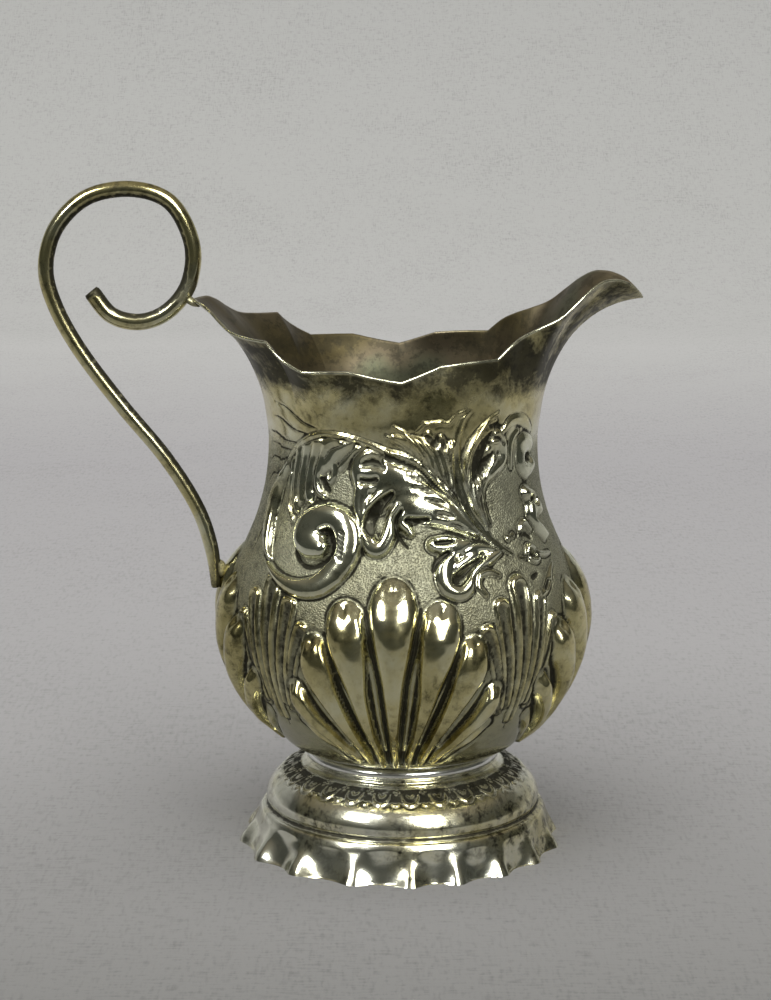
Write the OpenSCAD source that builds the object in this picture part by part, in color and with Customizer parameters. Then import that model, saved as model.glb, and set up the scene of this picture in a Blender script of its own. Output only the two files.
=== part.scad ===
// Small footed cream jug in embossed silver sheet, standing on a fluted domed foot.
// Origin: centre of the circle the foot stands on. +Z is up, +X points out of the spout,
// and the scrolled wire handle is on the -X side.

/* [Bowl] */
// Radius of the flat base of the bowl, where the collar is soldered
base_r = 13.7; // [12:0.1:14]
// Height of the flat base of the bowl
base_z = 15.2; // [15:0.1:17]
// Greatest radius of the bowl
belly_r = 28.2; // [26:0.1:30]
// Height of the greatest radius
belly_z = 37; // [33:0.5:40]
// Radius of the neck at its narrowest
waist_r = 20.9; // [19:0.1:23]
// Height of the narrowest part of the neck
waist_z = 65; // [60:0.5:68]
// Thickness of the silver sheet
wall = 0.7; // [0.5:0.1:1]

/* [Lip] */
// Height of the dip in the middle of each side of the lip
dip_z = 76; // [74:0.5:78]
// Height of the shoulders on each side of the dip
shoulder_z = 78; // [77:0.5:80]
// Distance from the axis to the tip of the spout
spout_reach = 37; // [35:0.5:40]
// Height of the tip of the spout
spout_tip_z = 85.8; // [84:0.2:87]
// Height of the highest point of the spout's edges
spout_top_z = 89.2; // [88:0.2:91]
// Distance from the axis to the tip of the tongue that carries the handle
tongue_reach = 32.2; // [31:0.1:33]
// Height of the tip of that tongue
tongue_z = 85.4; // [84:0.2:86]

/* [Foot] */
// Radius of the foot at its hem
foot_r = 24.8; // [23:0.1:27]
// Height of the fluted hem
hem_h = 5.6; // [5:0.1:6]
// Radius at the top of the hem
hem_top_r = 22.1; // [21.8:0.1:23]
// Height of the top of the foot, under the collar
foot_h = 13.2; // [13:0.1:13.4]
// Number of flutes round the hem
flute_count = 17; // [15:1:19]
// Greatest depth of a flute
flute_depth = 1; // [0.6:0.1:1.2]

/* [Collar] */
// Radius of the hole through the collar and the top of the foot
collar_bore_r = 12.6; // [12:0.1:13]
// Greatest radius of the collar
collar_r = 15.1; // [14.8:0.1:15.4]

/* [Handle] */
// Radius of the handle wire in the scroll
wire_r = 1.3; // [1:0.05:1.5]
// Radius of the handle wire at its lower end
wire_end_r = 1.1; // [0.9:0.05:1.2]

/* [Hidden] */
$fn = 96;
columns = 96;          // steps round the shell
bowl_rows = 8;         // steps from the base to the belly
neck_rows = 9;         // steps from the belly to the waist
lip_rows = 10;         // steps from the waist to the edge of the lip
wire_sides = 12;
wire_steps = 5;        // rings between two points of the handle's path
groove_r = 21.2;       // groove between the hem and the dome
dome_r = 21.4;         // widest part of the dome
dome_z = 7.2;          // height of that widest part
dome_top_r = 14.9;
flute_r = 10.25;       // radius of the round cutter of a flute
flute_top_z = 5.2;     // height where a flute runs out
silver = [0.72, 0.69, 0.60];
pale_silver = [0.80, 0.78, 0.70];
dark_silver = [0.48, 0.45, 0.38];
solder_grey = [0.62, 0.62, 0.60];

// Edge of the lip on one side: angle from the spout, radius, height
lip_edge = [
    [0, spout_reach, spout_tip_z],
    [4, spout_reach - 1, spout_tip_z + 1.1],
    [8, spout_reach - 2.4, spout_top_z - 0.9],
    [11, spout_reach - 4.4, spout_top_z],
    [15, spout_reach - 6, spout_top_z - 0.3],
    [22.5, spout_reach - 9, spout_top_z - 3],
    [30, waist_r + 3.7, spout_top_z - 6.2],
    [37.5, waist_r + 1.9, spout_top_z - 7.7],
    [45, waist_r + 1.5, shoulder_z + 2.3],
    [52.5, waist_r + 0.5, shoulder_z + 0.3],
    [71, waist_r - 0.6, shoulder_z - 0.1],
    [81, waist_r + 0.2, shoulder_z - 0.8],
    [90, waist_r + 1.6, dip_z],
    [105, waist_r + 1.9, shoulder_z - 0.8],
    [114, waist_r + 3.5, shoulder_z],
    [121, waist_r + 5.7, shoulder_z],
    [128, waist_r + 7, shoulder_z + 1],
    [137, waist_r + 6.7, shoulder_z + 3.1],
    [155, waist_r + 7.6, shoulder_z + 4.2],
    [163, tongue_reach - 2.9, tongue_z - 1.5],
    [169, tongue_reach - 1.6, tongue_z - 0.2],
    [180, tongue_reach, tongue_z]
];

// Centre line of the handle wire in the plane of the spout: x, z
handle_path = [
    [-47.6, 86.7], [-44.5, 83.0], [-40.0, 82.0], [-35.7, 83.8], [-32.6, 88.0], [-32.1, 94.0],
    [-35.2, 100.1], [-41.0, 102.2], [-47.8, 101.0], [-52.6, 96.5], [-54.4, 90.5], [-53.2, 84.7],
    [-49.6, 77.8], [-43.5, 69.4], [-36.7, 61.0], [-31.9, 53.2], [-29.7, 46.5], [-29.1, 40.5]
];

function bezier(p, t) =
    pow(1 - t, 3) * p[0] + 3 * t * pow(1 - t, 2) * p[1] + 3 * t * t * (1 - t) * p[2] + pow(t, 3) * p[3];

function bezier_slope(p, t) =
    3 * (pow(1 - t, 2) * (p[1] - p[0]) + 2 * t * (1 - t) * (p[2] - p[1]) + t * t * (p[3] - p[2]));

// The meridian is three curves: base to belly, belly to waist, waist to the lip's edge
bowl_curve = [[base_r, base_z], [belly_r - 7.7, base_z + 0.6],
              [belly_r, belly_z - 12.5], [belly_r, belly_z]];
neck_curve = [[belly_r, belly_z], [belly_r, belly_z + 11], [waist_r, waist_z - 17], [waist_r, waist_z]];

// How far the last stretch of the lip bends towards the horizontal, most at the spout's keel
function droop(a) = 0.76 + 0.21 * exp(-pow(a / 8, 2));

function lip_curve(a) =
    let (
        side = abs(a) > 180 ? 360 - abs(a) : abs(a),
        edge_r = lookup(side, [for (e = lip_edge) [e[0], e[1]]]),
        edge_z = lookup(side, [for (e = lip_edge) [e[0], e[2]]]),
        rise = edge_z - waist_z
    )
    [[waist_r, waist_z], [waist_r + 0.3, waist_z + 0.52 * rise],
     [waist_r + 0.38 * (edge_r - waist_r), waist_z + droop(side) * rise], [edge_r, edge_z]];

// Point of the sheet on meridian a: t runs 0-1 over one curve, depth is measured in from the outside
function sheet_point(curve, t, depth, a) =
    let (
        p = bezier(curve, t),
        slope = bezier_slope(curve, t),
        n = [slope[1], -slope[0]] / norm(slope),
        q = p - depth * n
    )
    [q[0] * cos(a), q[0] * sin(a), q[1]];

function sheet_ring(row, depth) = [
    for (i = [0 : columns - 1])
        let (a = i * 360 / columns)
            row <= bowl_rows ? sheet_point(bowl_curve, row / bowl_rows, depth, a)
            : row <= bowl_rows + neck_rows ? sheet_point(neck_curve, (row - bowl_rows) / neck_rows, depth, a)
            : sheet_point(lip_curve(a), (row - bowl_rows - neck_rows) / lip_rows, depth, a)
];

// Quads between ring j and ring j + 1, wound so that they face outwards
function band(j, n) = [
    for (i = [0 : n - 1])
        let (k = (i + 1) % n) [j * n + i, (j + 1) * n + i, (j + 1) * n + k, j * n + k]
];

module closed_rings(rings, n) {
    last = len(rings) - 1;
    polyhedron(
        points = [for (r = rings) for (p = r) p],
        faces = concat(
            [[for (i = [0 : n - 1]) i]],
            [for (j = [0 : last - 1]) for (f = band(j, n)) f],
            [[for (i = [n - 1 : -1 : 0]) last * n + i]]
        ),
        convexity = 6
    );
}

module body_shell() {
    rows = bowl_rows + neck_rows + lip_rows;
    color(silver)
    closed_rings(concat(
        [for (j = [0 : rows]) sheet_ring(j, 0)],
        [for (j = [rows : -1 : 0]) sheet_ring(j, wall)]
    ), columns);
}

// Outside of the bowl as one solid of revolution, for fitting what is soldered to it
module bowl_outside() {
    steps = 16;
    rotate_extrude()
    polygon(concat(
        [[0, base_z]],
        [for (i = [0 : steps]) bezier(bowl_curve, i / steps)],
        [for (i = [1 : steps]) bezier(neck_curve, i / steps)],
        [[0, waist_z]]
    ));
}

// Quarter of an ellipse from its widest point up to its top
function quarter(centre, rx, rz, steps) = [
    for (i = [0 : steps]) let (t = 90 * i / steps) centre + [rx * cos(t), rz * sin(t)]
];

function reversed(list) = [for (i = [len(list) - 1 : -1 : 0]) list[i]];

module foot() {
    foot_wall = 0.8;
    inner_hem_r = foot_r - flute_depth - foot_wall;
    outside = concat(
        [[foot_r, 0], [hem_top_r, hem_h], [groove_r, hem_h + 0.5]],
        quarter([dome_top_r, dome_z], dome_r - dome_top_r, foot_h - dome_z, 10)
    );
    inside = concat(
        [[inner_hem_r, 0], [groove_r - foot_wall + 0.2, hem_h - 0.6]],
        quarter([dome_top_r, dome_z], dome_r - foot_wall - dome_top_r, foot_h - foot_wall - dome_z, 10),
        [[collar_bore_r, foot_h - foot_wall], [collar_bore_r, foot_h]]
    );
    flute_foot_r = foot_r - flute_depth;
    flute_head_r = foot_r - (foot_r - hem_top_r) * flute_top_z / hem_h;
    lean = atan((flute_foot_r - flute_head_r) / flute_top_z);
    color(dark_silver)
    difference() {
        rotate_extrude() polygon(concat(outside, reversed(inside)));
        for (i = [0 : flute_count - 1])
            rotate([0, 0, (i + 0.5) * 360 / flute_count])
            translate([flute_foot_r + flute_r, 0, 0])
            rotate([0, -lean, 0])
            translate([0, 0, -6])
            cylinder(r = flute_r, h = 14);
    }
}

module foot_collar() {
    bead = (base_z - foot_h) / 2 + 0.05;
    centre = [collar_r - bead, foot_h + bead];
    color(pale_silver)
    rotate_extrude()
    polygon(concat(
        [[collar_bore_r, base_z], [collar_bore_r, foot_h], [dome_top_r - 0.4, foot_h]],
        [for (t = [-60 : 15 : 75]) centre + bead * [cos(t), sin(t)]],
        [[centre[0], base_z]]
    ));
}

// Fillet of solder inside the collar, under the base of the bowl
module foot_solder() {
    fillet = 1;
    color(solder_grey)
    rotate_extrude()
    polygon(concat(
        [[collar_bore_r, base_z]],
        [for (t = [0 : 15 : 90]) [collar_bore_r - fillet + fillet * sin(t), base_z - fillet + fillet * cos(t)]]
    ));
}

// Catmull-Rom curve through the handle's path
function path_point(j, t) =
    let (
        last = len(handle_path) - 1,
        a = handle_path[max(j - 1, 0)],
        b = handle_path[j],
        c = handle_path[min(j + 1, last)],
        d = handle_path[min(j + 2, last)]
    )
    0.5 * (2 * b + (c - a) * t + (2 * a - 5 * b + 4 * c - d) * t * t + (3 * b - a - 3 * c + d) * pow(t, 3));

wire_line = concat(
    [for (j = [0 : len(handle_path) - 2]) for (i = [0 : wire_steps - 1]) path_point(j, i / wire_steps)],
    [handle_path[len(handle_path) - 1]]
);

module wire(extra = 0) {
    last = len(wire_line) - 1;
    rings = [
        for (j = [0 : last])
            let (
                along = wire_line[min(j + 1, last)] - wire_line[max(j - 1, 0)],
                across = [along[1], -along[0]] / norm(along),
                r = wire_r + (wire_end_r - wire_r) * j / last + extra
            )
            [for (i = [0 : wire_sides - 1])
                let (t = i * 360 / wire_sides, p = wire_line[j] + r * cos(t) * across)
                [p[0], r * sin(t), p[1]]]
    ];
    closed_rings(rings, wire_sides);
}

module handle_wire() {
    color(silver) wire();
}

// Web of solder between the scroll and the tip of the tongue, kept outside the wire
module upper_handle_solder() {
    web_r = 1.5;
    color(solder_grey)
    difference() {
        translate([-tongue_reach - 0.3, 0, tongue_z - 0.9]) sphere(r = web_r, $fn = 24);
        wire_stub(3, 4);
        translate([-tongue_reach + 0.1, -5, tongue_z - 5]) cube([10, 10, 10]);
    }
}

// Puddle of solder between the end of the wire and the shoulder of the bowl
module lower_handle_solder() {
    puddle_r = 2.1;
    color(solder_grey)
    difference() {
        translate([-belly_r + 0.1, 0, belly_z + 7]) sphere(r = puddle_r, $fn = 24);
        bowl_outside();
        wire_stub(15, 17);
    }
}

// Straight stretches of wire between points of the handle's path, for trimming the solder
module wire_stub(from, to) {
    for (j = [from : to - 1])
        let (a = handle_path[j], b = handle_path[j + 1], along = b - a)
        translate([a[0], 0, a[1]])
        rotate([0, atan2(along[0], along[1]), 0])
        cylinder(r = j > 10 ? wire_end_r : wire_r, h = norm(along));
}

body_shell();
foot();
foot_collar();
foot_solder();
handle_wire();
upper_handle_solder();
lower_handle_solder();
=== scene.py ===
"""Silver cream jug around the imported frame: embossed body, fluted foot, collar, wire handle and solder."""
import math

import bpy
import numpy as np
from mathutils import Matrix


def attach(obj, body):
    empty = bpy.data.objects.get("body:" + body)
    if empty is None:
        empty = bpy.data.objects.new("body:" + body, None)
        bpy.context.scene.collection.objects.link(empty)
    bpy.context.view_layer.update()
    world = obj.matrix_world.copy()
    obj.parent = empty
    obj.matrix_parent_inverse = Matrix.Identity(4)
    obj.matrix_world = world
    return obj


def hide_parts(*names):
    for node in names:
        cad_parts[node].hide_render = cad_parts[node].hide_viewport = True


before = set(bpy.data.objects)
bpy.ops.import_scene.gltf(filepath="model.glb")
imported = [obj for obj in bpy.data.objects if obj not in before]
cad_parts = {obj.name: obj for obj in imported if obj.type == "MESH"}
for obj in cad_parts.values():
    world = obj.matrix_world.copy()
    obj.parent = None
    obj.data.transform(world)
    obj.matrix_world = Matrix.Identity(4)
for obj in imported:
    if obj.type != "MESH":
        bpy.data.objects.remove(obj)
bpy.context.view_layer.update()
MM = 0.001
rng = np.random.default_rng(1890)

# ---------------------------------------------------------------- camera
CAMERA_LENS = 90.0
CAMERA_DISTANCE = 0.3875
CAMERA_TILT = math.radians(10.9)
LOOK_AT = (-0.00266, 0.0, 0.05426)


def make_camera():
    data = bpy.data.cameras.new("camera")
    data.lens = CAMERA_LENS
    data.sensor_width = 36.0
    data.clip_start = 0.01
    camera = bpy.data.objects.new("camera", data)
    camera.location = (
        LOOK_AT[0],
        LOOK_AT[1] - CAMERA_DISTANCE * math.cos(CAMERA_TILT),
        LOOK_AT[2] + CAMERA_DISTANCE * math.sin(CAMERA_TILT),
    )
    camera.rotation_euler = (math.pi / 2 - CAMERA_TILT, 0.0, 0.0)
    bpy.context.scene.collection.objects.link(camera)
    bpy.context.scene.camera = camera


make_camera()

# ---------------------------------------------------------------- shape of the jug, in mm
# A turn is an angle round the axis in degrees: 0 faces the front (-Y), 90 the spout (+X), -90 the handle.
BASE_R, BASE_Z = 13.7, 15.2
BELLY_R, BELLY_Z = 28.2, 37.0
WAIST_R, WAIST_Z = 20.9, 65.0
BOWL_CURVE = [(BASE_R, BASE_Z), (BELLY_R - 7.7, BASE_Z + 0.6), (BELLY_R, BELLY_Z - 12.5), (BELLY_R, BELLY_Z)]
NECK_CURVE = [(BELLY_R, BELLY_Z), (BELLY_R, BELLY_Z + 11.0), (WAIST_R, WAIST_Z - 17.0), (WAIST_R, WAIST_Z)]

# Edge of the lip on one side: angle from the spout, radius, height, and whether the edge has a corner there
LIP_EDGE = [
    (0, 36.6, 85.7, 1), (4, 35.8, 86.9, 0), (8, 34.4, 88.3, 0), (11.5, 32.5, 89, 0), (15.5, 31, 88.8, 0),
    (19, 29.6, 87.7, 0), (23, 28.1, 85.9, 0), (27, 26.4, 84, 0), (32, 24.3, 82.7, 0), (38, 23, 81.7, 0),
    (45, 22.6, 80.4, 0), (51, 22, 78.5, 1), (63, 21, 78.3, 0), (75, 20.7, 77.9, 1), (83, 21.4, 76.9, 0),
    (91, 22.5, 75.8, 1), (100, 22.8, 76.5, 0), (109.5, 23.8, 77.4, 1), (117, 25.1, 77.3, 0),
    (124.5, 26.4, 77.1, 1), (131, 27.2, 79.1, 0), (137.5, 27.4, 81.1, 1), (147, 27.9, 81.5, 0),
    (155, 28.5, 82.1, 0), (161, 29.1, 83.3, 0), (166, 30, 84.7, 0), (171, 31, 85.4, 0), (180, 32, 85.4, 1),
]

# Angles from the spout of the corners whose creases run down the lip
LIP_CREASES = (0, 51, 91, 124.5, 137.5, 180)


def bezier(curve, t):
    """Points (radius, height) of a cubic curve; its control points and t may be arrays that broadcast."""
    a, b, c, d = ((1 - t) ** 3, 3 * t * (1 - t) ** 2, 3 * t * t * (1 - t), t ** 3)
    return [a * curve[0][k] + b * curve[1][k] + c * curve[2][k] + d * curve[3][k] for k in (0, 1)]


def smooth_lookup(x, xs, ys, corners):
    """Cubic interpolation through the points, with the slope free to break at the corners."""
    xs, ys = np.array(xs, float), np.array(ys, float)
    steps = np.diff(ys) / np.diff(xs)
    k = np.clip(np.searchsorted(xs, x, side="right") - 1, 0, len(xs) - 2)
    inner = np.zeros(len(xs))
    inner[1:-1] = np.where(steps[1:] * steps[:-1] > 0, (steps[1:] + steps[:-1]) / 2, 0)
    corners = np.array(corners, bool)
    left = np.where(corners[k], steps[k], inner[k])
    right = np.where(corners[k + 1], steps[k], inner[k + 1])
    h = xs[k + 1] - xs[k]
    t = (x - xs[k]) / h
    return (
        (2 * t ** 3 - 3 * t ** 2 + 1) * ys[k] + (t ** 3 - 2 * t ** 2 + t) * h * left
        + (3 * t ** 2 - 2 * t ** 3) * ys[k + 1] + (t ** 3 - t ** 2) * h * right
    )


def curve_through(points, stretch_count):
    """A smooth curve through the points; stretch_count says how many points from one to the next."""
    p = np.array(points, float)
    ends = np.concatenate([2 * p[:1] - p[1:2], p, 2 * p[-1:] - p[-2:-1]])
    found = []
    for a, b, c, d in zip(ends, ends[1:], ends[2:], ends[3:]):
        t = np.linspace(0, 1, stretch_count(b, c), endpoint=False)[:, None]
        found.append(0.5 * (2 * b + (c - a) * t + (2 * a - 5 * b + 4 * c - d) * t ** 2
                            + (3 * b - a - 3 * c + d) * t ** 3))
    return np.concatenate(found + [p[-1:]])


def smooth_profile(points, step):
    return curve_through(points, lambda b, c: max(2, int(np.linalg.norm(c - b) / step)))


def from_spout(turn):
    """Angle from the spout, 0 to 180, the same on both sides."""
    return np.abs((turn - 90 + 180) % 360 - 180)


def lip_curves(turn):
    """Control points, at each turn, of the curve from the waist to the edge of the lip."""
    a = from_spout(turn)
    angles, radii, heights, corners = zip(*LIP_EDGE)
    edge_r = smooth_lookup(a, angles, radii, corners)
    edge_z = smooth_lookup(a, angles, heights, corners)
    rise = edge_z - WAIST_Z
    droop = 0.76 + 0.21 * np.exp(-(a / 8) ** 2)
    start = (np.full_like(a, WAIST_R), np.full_like(a, WAIST_Z))
    return [start, (start[0] + 0.3, WAIST_Z + 0.52 * rise),
            (WAIST_R + 0.38 * (edge_r - WAIST_R), WAIST_Z + droop * rise), (edge_r, edge_z)]


def to_xyz(r, z, turn):
    angle = np.radians(turn)
    return np.stack([r * np.sin(angle), -r * np.cos(angle), z], axis=-1)


def all_turns(columns):
    return -180 + 360 * np.arange(columns) / columns


def smoothstep(x, low=0.0, high=1.0):
    t = np.clip((x - low) / (high - low), 0, 1)
    return t * t * (3 - 2 * t)


def bump_at(x, width):
    """1 at 0, fading to 0 within about two widths."""
    return np.exp(-(x / width) ** 2)


def normals_of(points):
    """Outward unit normals of a grid of rows up and columns round, which closes on itself round."""
    along = np.gradient(points, axis=0)
    around = np.roll(points, -1, axis=1) - np.roll(points, 1, axis=1)
    n = np.cross(around, along)
    return n / np.maximum(np.linalg.norm(n, axis=-1, keepdims=True), 1e-12)


def blurred(field, passes):
    """Binomial blur, passes times, closed round the columns."""
    for _ in range(passes):
        field = (np.roll(field, 1, 1) + 2 * field + np.roll(field, -1, 1)) / 4
        padded = np.concatenate([field[:1], field, field[-1:]])
        field = (padded[:-2] + 2 * padded[1:-1] + padded[2:]) / 4
    return field


def wobble(rows, columns, cells_up, cells_round):
    """Smooth random field from -1 to 1, closed round the columns."""
    coarse = rng.uniform(-1, 1, (cells_up + 3, cells_round))
    v = np.linspace(0, cells_up - 1e-6, rows)
    u = np.linspace(0, cells_round, columns, endpoint=False)
    i, j = v.astype(int), u.astype(int)
    fv, fu = smoothstep(v - i)[:, None], smoothstep(u - j)[None, :]
    k = (j + 1) % cells_round
    low = coarse[i][:, j] * (1 - fu) + coarse[i][:, k] * fu
    high = coarse[i + 1][:, j] * (1 - fu) + coarse[i + 1][:, k] * fu
    return low * (1 - fv) + high * fv


FILLET = 0.22  # how softly paths of one form run together, in mm
PATH_STEP = 0.12
FAR = 1e9


def path_count(b, c):
    """Points on a stretch of a path; a degree counts as 0.4 mm, which is near enough."""
    return max(3, int(math.hypot((c[0] - b[0]) * 0.4, c[1] - b[1]) / PATH_STEP))


class Relief:
    """Embossing on a surface of rings: the height in mm, the dirt in its recesses and the matted ground."""

    def __init__(self, turns, radius, arc, arc_at):
        self.turns, self.radius, self.arc, self.arc_at = turns, radius, arc, arc_at
        self.height = np.zeros_like(radius)
        self.dirt = np.zeros_like(radius)
        self.matte = np.zeros_like(radius)
        self.vary = 0.72 + 0.38 * wobble(*radius.shape, 40, 70)

    def path(self, points):
        """Close points on a smooth curve through (turn, height, half width), each height now an arc."""
        p = np.array([(t, self.arc_at(z), w) for t, z, w in points], float)
        return p if len(p) == 1 else curve_through(p, path_count)

    def near(self, paths, margin):
        """The part of the grid near some paths that run together, and for each point of it the distance
        outside their edge, the share of the half width and the share of the way along."""
        paths = [self.path(points) for points in paths]
        every = np.concatenate(paths)
        reach = every[:, 2].max() + margin
        low, high = every[:, 1].min() - reach, every[:, 1].max() + reach
        rows = np.where((self.arc.max(1) >= low) & (self.arc.min(1) <= high))[0]
        smallest = max(self.radius[rows].min(), 4.0)
        spread = math.degrees(reach / smallest)
        count = len(self.turns)
        first = math.floor((every[:, 0].min() - spread - self.turns[0]) / 360 * count)
        last = math.ceil((every[:, 0].max() + spread - self.turns[0]) / 360 * count)
        columns = np.arange(first, min(last, first + count - 1) + 1)
        turn = self.turns[0] + columns * 360 / count
        window = np.ix_(rows, columns % count)
        radius, arc = np.radians(self.radius[window]), self.arc[window]
        merged, along = np.zeros(arc.shape), np.zeros(arc.shape)
        share = np.full(arc.shape, FAR)
        for path in paths:
            outside = np.full(arc.shape, FAR)
            for k, (t, s, w) in enumerate(path):
                d = np.hypot(radius * (turn - t)[None, :], arc - s)
                closer = d - w < outside
                outside = np.where(closer, d - w, outside)
                share = np.where(closer, d / max(w, 1e-3), share)
                along = np.where(closer, k / len(path), along)
            merged += np.exp(-np.clip(outside, -5, 5) / FILLET)
        return window, -FILLET * np.log(merged), share, along

    def lay(self, window, outside, form, outline, broad=0.21):
        """Puts a form over what is there, with a chased line round it."""
        inside = smoothstep(-outside, -0.1, 0.1)
        line = bump_at(outside - broad, broad) * (1 - inside) * self.vary[window]
        self.height[window] = self.height[window] * (1 - inside) + form * inside - outline * line
        self.dirt[window] = np.maximum(self.dirt[window] * (1 - inside), line * min(1, outline / 0.12))
        self.matte[window] *= 1 - inside

    def raised(self, points, height, power=0.7, outline=0.14, base=0.0, swell=((0, 1), (1, 1)), broad=0.21):
        """A convex form along a path; swell is (share of the way along, share of the height)."""
        window, outside, share, along = self.near([points], 1.6)
        form = base + height * np.interp(along, *zip(*swell)) * np.clip(1 - share ** 2, 0, 1) ** power
        self.lay(window, outside, form, outline, broad)

    def leaf(self, paths, height):
        """A broad form with a rounded shoulder, made of several paths that run together."""
        window, outside, _, _ = self.near(paths, 1.6)
        depth = np.maximum(-outside, 0)
        form = height * (1 - np.exp(-depth / 0.42)) + 0.04 * np.minimum(depth, 2.5)
        self.lay(window, outside, form, 0.2)

    def ridge(self, points, height):
        """A thin raised line added to the form under it."""
        window, outside, share, _ = self.near([points], 0.8)
        self.height[window] += height * np.exp(-share ** 2 * 1.2)
        self.dirt[window] = np.maximum(self.dirt[window], 0.55 * bump_at(outside - 0.15, 0.18))

    def carved(self, points, depth, dirt=0.85):
        """A hollow cut into what is there."""
        window, outside, share, _ = self.near([points], 0.9)
        inside = smoothstep(-outside, -0.12, 0.16)
        self.height[window] -= depth * inside * np.clip(1.1 - 0.5 * share ** 2, 0, 1)
        self.dirt[window] = np.maximum(self.dirt[window], dirt * inside)

    def finish(self):
        """Softens the sheet a little, and adds the dirt that gathers where it dips below its surroundings."""
        self.height = blurred(self.height, 1)
        dip = blurred(self.height, 14) - self.height
        self.dirt = np.clip(np.maximum(self.dirt, smoothstep(dip, 0.03, 0.22)), 0, 1)


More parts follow.
